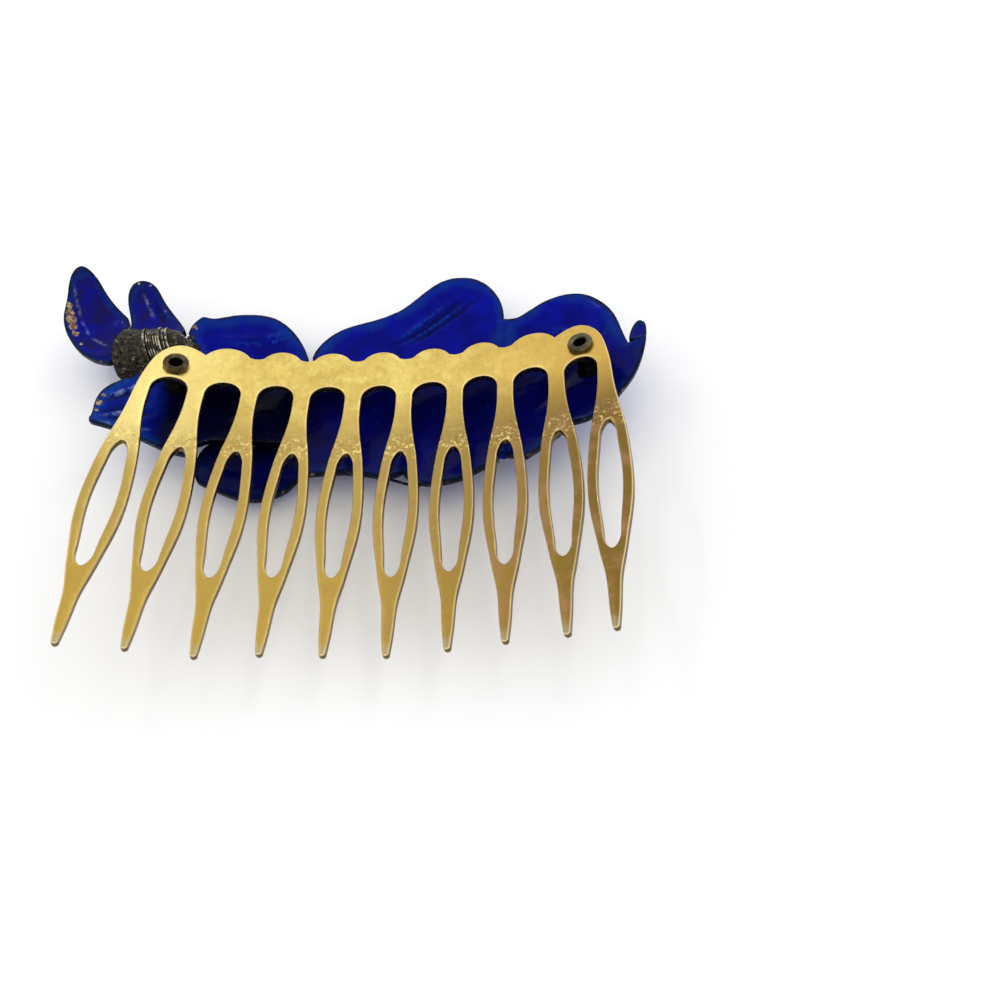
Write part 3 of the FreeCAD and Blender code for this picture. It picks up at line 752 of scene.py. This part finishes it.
class Leaf:
    """Pressed sheet of one leaf: its outline, its dish and its relief."""

    def __init__(self, name):
        self.name = name
        loop, self.centre, radius = upper_rim(f"{name}_plate")
        self.radius = radius - BACK_ENAMEL
        step = 0.18 if name.endswith(("petal", "tip")) else 0.3
        loop = even_loop(loop, step)
        self.loop = loop + loop_normals(loop) * (RIM_WIDTH - WALL_SEEN)
        self.grid(step)
        self.rim = loop_distance(self.points, self.loop)

    def grid(self, step):
        """Points over the leaf and the triangles between them."""
        low, high = self.loop.min(axis=0), self.loop.max(axis=0)
        rows = np.arange(low[1], high[1], step * 0.866)
        grid = [(x, y) for number, y in enumerate(rows)
                for x in np.arange(low[0] + (number % 2) * step / 2, high[0], step)]
        grid = np.array(grid)
        grid = grid[inside(grid, self.loop)]
        grid = grid[loop_distance(grid, self.loop) > step * 0.45]
        points = np.vstack([self.loop, grid])
        border = list(range(len(self.loop)))
        result = delaunay_2d_cdt([Vector(point) for point in points], [], [border], 1, 1e-6)
        self.points = np.array([tuple(point) for point in result[0]])
        self.faces = [list(face) for face in result[2]]
        origin = result[3]
        self.border = [next(i for i, ids in enumerate(origin) if number in ids)
                       for number in border]

    def creases(self, points):
        """Height of the pressed creases, and masks for the painted groove shade and ridge
        highlight.
        """
        height, dark, ridge_glint = (np.zeros(len(points)) for _ in range(3))
        for start, end, rise, width in CREASES[self.name]:
            away, share = line_distance(points, start, end)
            fade = np.clip(4 * share * (1 - share) + 0.25, 0, 1)
            press = fade * np.exp(-(away / width) ** 2)
            height += rise * press
            # Narrow grooves get painted shade, narrow ridges a painted highlight.
            if width < 0.6 and rise < 0:
                dark = np.maximum(dark, 0.85 * press)
            elif width < 0.6:
                ridge_glint = np.maximum(ridge_glint, press ** 3)
        return height, dark, ridge_glint

    def worn(self, points):
        """Places where the enamel is rubbed away."""
        value = np.zeros(len(points))
        for spot_x, spot_y, reach in WORN.get(self.name, ()):
            away = np.hypot(points[:, 0] - spot_x, points[:, 1] - spot_y)
            value = np.maximum(value, np.clip(1.3 - away / reach, 0, 1))
        return value

    def values(self):
        """Everything the enamel's colour depends on, for both faces of a shell."""
        # Painted shadow of the comb on the leaves: none above the bar or past the comb's left
        # end, strongest just below the bar on the left, weaker to the right and further down.
        shade = np.clip((19.5 - self.points[:, 1]) / 3.0, 0, 1)
        shade *= np.clip((self.points[:, 0] + 24.5) / 2.0, 0, 1)
        shade *= 0.95 - 0.42 * np.clip((self.points[:, 0] + 10.0) / 6.0, 0, 1)
        shade *= 1.0 - 0.3 * np.clip((10.0 - self.points[:, 1]) / 4.0, 0, 1)
        _, groove_shade, ridge_glint = self.creases(self.points)
        fields = {"rim": self.rim, "groove_shade": groove_shade, "ridge_glint": ridge_glint,
                  "worn": self.worn(self.points), "shade": shade}
        return {key: np.tile(field, 2) for key, field in fields.items()}

    def relief(self, points, rim):
        """Height of the pressed creases and of the hand-worked unevenness."""
        height = self.creases(points)[0]
        amount = HAMMER.get(self.name, 0.06)
        rough = [noise.noise(Vector((x * 0.16, y * 0.16, 3.1))) * 0.8
                 + noise.noise(Vector((x * 0.45, y * 0.45, 9.4))) * 0.3 for x, y in points]
        soft = 1 - np.exp(-(rim / 0.7) ** 2)
        return (height + amount * np.array(rough)) * soft

    def bowl(self, points):
        """Height of the dish the leaf is pressed to."""
        flat = points - self.centre[:2]
        return self.centre[2] - np.sqrt(self.radius ** 2 - (flat ** 2).sum(axis=1))

    def back(self, points, rim):
        """Height of the back face of the leaf."""
        return self.bowl(points) + self.relief(points, rim)

    def shell(self, top, bottom):
        """Closed solid between two heights given for each point."""
        count = len(self.points)
        points = [(x, y, z) for (x, y), z in zip(self.points, top)]
        points += [(x, y, z) for (x, y), z in zip(self.points, bottom)]
        faces = list(self.faces)
        faces += [[index + count for index in face[::-1]] for face in self.faces]
        for a, b in zip(self.border, self.border[1:] + self.border[:1]):
            faces.append([a, a + count, b + count, b])
        return points, faces


def loop_normals(loop):
    """Outward plane normals of a closed loop."""
    ahead = np.roll(loop, -1, axis=0) - np.roll(loop, 1, axis=0)
    normals = np.stack([ahead[:, 1], -ahead[:, 0]], axis=1)
    normals /= np.linalg.norm(normals, axis=1)[:, None]
    area = (loop[:, 0] * np.roll(loop[:, 1], -1) - np.roll(loop[:, 0], -1) * loop[:, 1]).sum()
    return normals if area > 0 else -normals


def make_rim(leaf):
    """Edge band of a leaf: a thin wall with a rounded bead along its back edge."""
    loop = leaf.loop
    out = loop_normals(loop)
    depth = BACK_ENAMEL + PLATE + 0.1
    section = ((-0.06, -0.05), (0.0, 0.04), (WALL_SEEN * 0.5, 0.07), (WALL_SEEN, 0.03),
               (WALL_SEEN + 0.02, -0.08), (WALL_SEEN, -depth + 0.12),
               (WALL_SEEN * 0.4, -depth), (-0.06, -depth + 0.06))
    points, faces = [], []
    size = len(section)
    rings = [leaf.bowl(loop + out * away) + rise for away, rise in section]
    for i, (x, y) in enumerate(loop):
        worn = 0.04 * noise.noise(Vector((x, y, 0.4)))
        for (away, rise), ring in zip(section, rings):
            lift = worn if rise > 0 else 0.0
            points.append((x + out[i, 0] * away, y + out[i, 1] * away, ring[i] + lift))
    for i in range(len(loop)):
        faces += strip(i * size, ((i + 1) % len(loop)) * size, size)
    add_piece(f"{leaf.name}_rim_wire", (points, faces), RIM_METAL, f"{leaf.name}_rim")


# Seam between the centre leaf and the right leaf: its place across, and for each of the two
# dishes the ball's height, its radius and its middle across and along.
SEAM_ACROSS = 13.2
SEAM_DISHES = ((51.3, 55.0, 3.0, 16.5), (33.2, 36.0, 10.0, 16.0))


def enamel_seam():
    """Flat bead of enamel that has run into the seam between two leaves."""
    along = np.linspace(25.75, 5.2, 60)
    dishes = [height - np.sqrt(ball ** 2 - (SEAM_ACROSS - across) ** 2 - (along - middle) ** 2)
              for height, ball, across, middle in SEAM_DISHES]
    path = [(SEAM_ACROSS + 0.03 * math.sin(y), y, z)
            for y, z in zip(along, np.maximum(*dishes) - 0.3)]
    points, faces = swept_tube(path, 0.42, 20, wobble=0.1)
    return [(SEAM_ACROSS + 2.1 * (x - SEAM_ACROSS), y, z) for x, y, z in points], faces


def make_leaf(name):
    """Plate, both enamels and the rim of one leaf."""
    leaf = Leaf(name)
    back = leaf.back(leaf.points, leaf.rim)
    lip = 0.08 * np.exp(-leaf.rim / 0.22)
    values = leaf.values()
    front_values = dict(values)
    for key in ("shade", "worn", "ridge_glint"):
        front_values[key] = np.zeros(2 * len(leaf.rim))
    blue = PETAL_BLUE if name.endswith(("petal", "tip")) else BACK_BLUE
    if name == "small_leaf":
        blue = SMALL_BLUE
    glass = leaf.shell(back + lip - 0.02, back - BACK_ENAMEL)
    if name == "right_leaf":
        glass = joined([glass, enamel_seam()])
        more = len(glass[0]) - 2 * len(leaf.rim)
        fillers = {"rim": 0.8, "groove_shade": 0.0, "ridge_glint": 0.0, "worn": 0.0, "shade": 0.0}
        values = {key: np.append(field, np.full(more, fillers[key]))
                  for key, field in values.items()}
    add_piece(f"{name}_back_glass", glass, blue, f"{name}_back_enamel", values)
    under = back - BACK_ENAMEL - PLATE
    add_piece(f"{name}_sheet", leaf.shell(back - BACK_ENAMEL, under), PLATE_METAL,
              f"{name}_plate")
    swell = FRONT_ENAMEL * (0.2 + 0.8 * np.tanh(leaf.rim / 0.5))
    add_piece(f"{name}_front_glass", leaf.shell(under, under - swell), FRONT_BLUE,
              f"{name}_front_enamel", front_values)
    make_rim(leaf)
    return leaf


# Veins on the front: midrib start and end, then its side veins as (share, length, turn).
VEINS = {
    "left_leaf": ((-19.2, 14.0), (-10.6, 24.4), 4, 4.6, 0.85),
    "centre_leaf": ((-7.2, 8.0), (9.8, 30.0), 6, 8.6, 0.8),
    "right_leaf": ((14.2, 8.4), (24.6, 22.6), 4, 5.6, 0.9),
    "lower_leaf": ((-17.4, 8.0), (-8.8, 5.4), 3, 3.0, 0.9),
    "small_leaf": ((-28.8, 11.2), (-21.4, 16.6), 3, 3.0, 0.8),
}


def vein_lines(name):
    """Midrib and bowed side veins as plane curves."""
    start, end, pairs, reach, turn = VEINS[name]
    start, end = np.array(start), np.array(end)
    way = end - start
    along = way / np.linalg.norm(way)
    aside = np.array([-along[1], along[0]])
    bow = 0.05 * np.linalg.norm(way)
    lines = [smooth_curve([start, start + way * 0.5 + aside * bow, end], 0.3)]
    for pair in range(pairs):
        share = 0.12 + 0.72 * pair / pairs
        root = start + way * share + aside * bow * 4 * share * (1 - share)
        length = reach * (0.75 + 0.5 * math.sin(math.pi * (share + 0.12))) * (1 - 0.25 * share)
        for side in (-1, 1):
            lean = along * math.cos(turn) + aside * side * math.sin(turn)
            tip = root + lean * length + along * 0.18 * length
            lines.append(smooth_curve([root, root + lean * length * 0.55, tip], 0.3))
    return lines


def make_veins(leaf):
    """Gilt wires standing on the front enamel, cut off at the rim."""
    wires = []
    for line in vein_lines(leaf.name):
        line = line[inside(line, leaf.loop)]
        if len(line) < 4:
            continue
        rim = loop_distance(line, leaf.loop)
        line, rim = line[rim > 0.15], rim[rim > 0.15]
        if len(line) < 4:
            continue
        height = leaf.back(line, rim) - BACK_ENAMEL - PLATE - FRONT_ENAMEL + 0.02
        path = [(x, y, z) for (x, y), z in zip(line, height)]
        taper = np.linspace(0.15, 0.09, len(path))
        wires.append(swept_tube(path, list(taper), 6))
    add_piece(f"{leaf.name}_vein_wires", joined(wires), GILT_WIRE, f"{leaf.name}_veins")


# ---- rivets

def make_rivet(name, side, material, foot):
    """Hollow rivet with a rolled head, square to the bent comb; foot is where it ends below."""
    lean = RIVET_ACROSS / COMB_RADIUS
    centre = (side * COMB_RADIUS * math.sin(lean), RIVET_ALONG,
              COMB_RADIUS * (1 - math.cos(lean)))
    axis = (-side * math.sin(lean), 0, math.cos(lean))
    roll, bore, lip = 0.35, 0.64, 1.33
    middle = (bore + lip) / 2
    profile = [(foot, 0.0), (foot, 1.3), (foot + 0.12, 1.34), (foot + 0.3, 1.2),
               (foot + 0.5, 1.0), (0.0, 0.97), (0.02, lip - 0.06)]
    for step in range(13):
        turn = -0.45 + (math.pi + 0.75) * step / 12
        profile.append((roll * 0.8 + roll * math.sin(turn) * 0.95,
                        middle + (lip - bore) / 2 * math.cos(turn)))
    profile += [(0.1, bore), (-0.6, bore - 0.01), (-1.4, bore - 0.02), (-2.2, bore - 0.04),
                (-2.2, 0.0)]
    # Everything more than half a millimetre below the comb's back face gets painted shade.
    painted_shade_low = [float(along < -0.5) for along, _ in profile for _ in range(56)]
    add_piece(f"{name}_rolled", turned(profile, centre, axis, 56, 0.035), material, name,
              {"painted_shade_low": painted_shade_low})


# ---- blossom

NECK = Vector((-22.0, 22.0, 0.6))
CALYX_AXIS = Vector((-0.982, -0.03, -0.175)).normalized()
CALYX_LENGTH = 7.6
CALYX_NECK = 1.4
CALYX_MOUTH = 3.1
CALYX_WALL = 0.3
# The mouth is cut slantwise: its upper side is shorter by twice this.
CALYX_SLANT = 0.8
# Rings of the winding, as shares of the calyx's length.
THIN_RINGS = (0.34, 0.375, 0.41, 0.445, 0.48, 0.25)
STRONG_RINGS = (0.2, 0.3, 0.52)


def calyx_radius(share):
    """Outer radius of the calyx at a share of its length, with its blunt neck."""
    cone = CALYX_NECK + (CALYX_MOUTH - CALYX_NECK) * share
    blunt = math.sqrt(max(0.0, 1.0 - max(0.0, 1.0 - share / 0.12) ** 2))
    return (cone + 0.3 * math.sin(math.pi * min(1.0, share * 1.6))) * blunt


def calyx_spokes(count):
    """Unit vectors spread evenly round the calyx."""
    side = CALYX_AXIS.orthogonal().normalized()
    return spokes(side, CALYX_AXIS.cross(side), count)


def make_calyx():
    """Cup of the blossom: a thin cone with a lumpy, soldered skin."""
    sides, rows = 72, 44
    points, faces = [], []
    for wall in (0, 1):
        for row in range(rows):
            share = row / (rows - 1)
            radius = max(0.02, calyx_radius(share) - CALYX_WALL * wall)
            for spoke in calyx_spokes(sides):
                slant = -CALYX_SLANT * share ** 2 * (1.0 + spoke.y)
                point = NECK + CALYX_AXIS * (CALYX_LENGTH * share + slant) + spoke * radius
                lump = noise.noise(point * 2.2) * 0.12 + noise.noise(point * 6.0) * 0.07
                lump *= (0.3 + 0.9 * share) * (1 - wall)
                points.append(point + spoke * lump)
    for wall in (0, 1):
        for row in range(rows - 1):
            here = (wall * rows + row) * sides
            faces += strip(here, here + sides, sides)
    for row in (0, rows - 1):
        faces += strip(row * sides, (rows + row) * sides, sides)
    add_piece("calyx_skin", (points, faces), SOLDER_SILVER, "calyx_cup")


def make_coil():
    """Fine wire wound round the calyx, slightly uneven."""
    rings = []
    for share in THIN_RINGS + STRONG_RINGS:
        strong = share in STRONG_RINGS
        thick = 0.13 if strong else 0.075
        radius = calyx_radius(share) + (0.16 if strong else 0.04)
        path = []
        for spoke in calyx_spokes(64):
            drift = 0.45 * spoke.y + 0.05 * noise.noise(spoke * 2 + Vector((share * 9, 0, 0)))
            path.append(NECK + CALYX_AXIS * (CALYX_LENGTH * share + drift) + spoke * radius)
        rings.append(swept_tube(path, thick, 8, closed=True, wobble=0.12))
    add_piece("calyx_winding", joined(rings), COIL_SILVER, "calyx_coil")


def lump(centre, size, seed):
    """Uneven blob of solder."""
    work = bmesh.new()
    bmesh.ops.create_icosphere(work, subdivisions=3, radius=1.0)
    points = []
    for vert in work.verts:
        swell = 1 + 0.35 * noise.noise(vert.co * 1.6 + Vector((seed, 0, 0)))
        stretch = Vector((size[0] * vert.co.x, size[1] * vert.co.y, size[2] * vert.co.z))
        points.append(Vector(centre) + stretch * swell)
    faces = [[vert.index for vert in face.verts] for face in work.faces]
    work.free()
    return points, faces


def make_stem():
    """Short stem from the neck of the calyx, swallowed by solder at the left leaf."""
    path = smooth_curve([(-23.2, 21.9, 0.6), (-22.4, 22.0, 0.35), (-21.7, 22.1, 0.1),
                         (-21.1, 22.2, -0.3)], 0.15)
    parts = [swept_tube(path, [0.55 + 0.08 * math.sin(k * 1.3) for k in range(len(path))], 12)]
    parts.append(lump((-22.0, 22.5, 0.25), (0.5, 1.0, 0.45), 2.0))
    parts.append(lump((-21.8, 23.6, 0.35), (0.3, 0.6, 0.25), 5.0))
    add_piece("stem_soldered", joined(parts), SOLDER_SILVER, "stem")


# Cup of the bead: height and reach of each row, as shares of the bead's radius.
CUP_PROFILE = ((-0.95, 0.3), (-0.9, 0.8), (-0.62, 1.02), (-0.35, 1.1))
CUP_TEETH = 9


def make_bead():
    """Bead on a pin in the mouth of the blossom, in a scalloped cup."""
    low, high = (Vector(corner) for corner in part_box("bead"))
    centre = ((low + high) / 2 - COMB_ORIGIN) / MM
    radius = (high.x - low.x) / 2 / MM
    profile = []
    for step in range(17):
        turn = math.pi * step / 16
        profile.append((-radius * 0.96 * math.cos(turn), radius * math.sin(turn) ** 0.96 + 1e-4))
    add_piece("bead_cream", turned(profile, centre, (0, 0, -1), 40, 0.02), bead_glaze(), "bead")
    sides = CUP_TEETH * 6
    wall, faces = [], []
    for row, (rise, reach) in enumerate(CUP_PROFILE):
        for k in range(sides):
            turn = 2 * math.pi * k / sides
            scallop = 0.1 * math.cos(CUP_TEETH * turn) if row == 3 else 0.0
            wall.append((centre.x + reach * radius * 1.04 * math.cos(turn),
                         centre.y + reach * radius * 1.04 * math.sin(turn),
                         centre.z + (rise + scallop) * radius * 1.1))
    for row in range(3):
        faces += strip(row * sides, (row + 1) * sides, sides)
    faces.append(tuple(range(sides - 1, -1, -1)))
    cup = add_piece("bead_scalloped_cup", (wall, faces), GILT_WIRE, "bead_cup")
    cup.modifiers.new("wall", "SOLIDIFY").thickness = 0.12 * MM


# ---- solder and edge wire

SOLDER = (((-20.5, 17.0, -0.7), (0.4, 0.5, 0.3)), ((-19.2, 8.6, -1.1), (0.45, 0.4, 0.3)),
          ((-8.85, 19.5, -2.5), (0.3, 0.8, 0.25)), ((-8.9, 11.0, -2.3), (0.3, 0.7, 0.25)),
          ((13.2, 20.0, -2.7), (0.28, 0.9, 0.25)), ((13.0, 9.0, -2.9), (0.3, 0.7, 0.25)),
          ((-14.0, 9.4, -2.9), (0.9, 0.4, 0.4)), ((-8.2, 7.4, -2.9), (0.5, 0.5, 0.4)),
          ((-29.8, 24.6, -0.6), (0.5, 0.7, 0.35)), ((-30.0, 21.8, -0.5), (0.5, 0.8, 0.4)),
          ((-25.6, 24.2, 0.1), (0.8, 0.4, 0.35)), ((-28.3, 23.6, -3.9), (0.4, 0.5, 0.3)),
          ((-28.2, 26.0, -3.9), (0.4, 0.5, 0.3)))


def make_solder():
    """Uneven lumps of solder where neighbouring leaves meet."""
    parts = [lump(spot, size, number * 3.7) for number, (spot, size) in enumerate(SOLDER)]
    add_piece("solder_lumps", joined(parts), SOLDER_SILVER, "solder_joints")


def make_edge_wire():
    """Thin wire across the notch in the lower edge of the centre leaf."""
    path = smooth_curve([(0.6, 3.85, -2.2), (1.9, 3.45, -2.35), (3.2, 2.95, -2.35),
                         (4.6, 2.55, -2.2)], 0.2)
    add_piece("edge_wire_bent", swept_tube(path, 0.15, 8, wobble=0.15), RIM_METAL, "edge_wire")


# ---- stage

# The view: a target on the comb's level, and the camera's angles and distance from it.
TARGET = (12.714, -1.5, 0.0)
AZIMUTH = 4.14
ELEVATION = 51.45
ROLL = -5.7
DISTANCE = 91.41
LENS = 34.67


def make_camera():
    """Camera at the view of the comb's back, close and above the tips."""
    heading, height, roll = map(math.radians, (AZIMUTH, ELEVATION, ROLL))
    ahead = Vector((-math.sin(heading) * math.cos(height), math.cos(heading) * math.cos(height),
                    -math.sin(height)))
    level = ahead.cross(Vector((0, 0, 1))).normalized()
    upright = level.cross(ahead)
    right = level * math.cos(roll) + upright * math.sin(roll)
    up = right.cross(ahead)
    data = bpy.data.cameras.new("camera")
    data.lens = LENS
    data.sensor_width = 36.0
    data.clip_start = 0.001
    camera = bpy.data.objects.new("camera", data)
    bpy.context.scene.collection.objects.link(camera)
    spot = to_part(TARGET) - ahead * DISTANCE * MM
    turn = Matrix((right, up, -ahead)).transposed().to_4x4()
    camera.matrix_world = Matrix.Translation(spot) @ turn
    bpy.context.scene.camera = camera
    bpy.context.scene.view_settings.view_transform = "Standard"


def make_lamp(name, place, size, power):
    """Soft square lamp aimed at the origin."""
    data = bpy.data.lights.new(name, "AREA")
    data.shape = "SQUARE"
    data.size = size
    data.energy = power
    lamp = bpy.data.objects.new(name, data)
    bpy.context.scene.collection.objects.link(lamp)
    lamp.location = place
    lamp.rotation_euler = (-Vector(place)).to_track_quat("-Z", "Y").to_euler()


def make_studio():
    """Pale floor, soft lamps and a pale surround."""
    mesh = bpy.data.meshes.new("floor")
    reach = 3.0
    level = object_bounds()[0][2]
    corners = ((-reach, -reach), (reach, -reach), (reach, reach), (-reach, reach))
    mesh.from_pydata([(x, y, level) for x, y in corners], [], [(0, 1, 2, 3)])
    paper = Nodes("paper", Roughness=0.9, Specular_IOR_Level=0.1)
    paper.shader.inputs["Base Color"].default_value = (0.9, 0.9, 0.9, 1)
    mesh.materials.append(paper.material)
    floor = bpy.data.objects.new("floor", mesh)
    bpy.context.scene.collection.objects.link(floor)
    world = bpy.data.worlds.new("surround")
    bpy.context.scene.world = world
    world.use_nodes = True
    sky = world.node_tree.nodes["Background"]
    sky.inputs["Color"].default_value = (1.0, 1.0, 1.0, 1)
    sky.inputs["Strength"].default_value = 1.1
    make_lamp("key", (0.25, 0.35, 0.45), 0.3, 0.3)
    make_lamp("glint", (-0.25, 0.15, 0.35), 0.03, 0.08)


# ---- build

make_comb()
for leaf_name in CREASES:
    pressed = make_leaf(leaf_name)
    if leaf_name in VEINS:
        make_veins(pressed)
make_rivet("left_rivet", -1, RIVET_LEFT, -3.2)
make_rivet("right_rivet", 1, RIVET_RIGHT, -3.6)
make_calyx()
make_coil()
make_stem()
make_bead()
make_solder()
make_edge_wire()
make_camera()
make_studio()
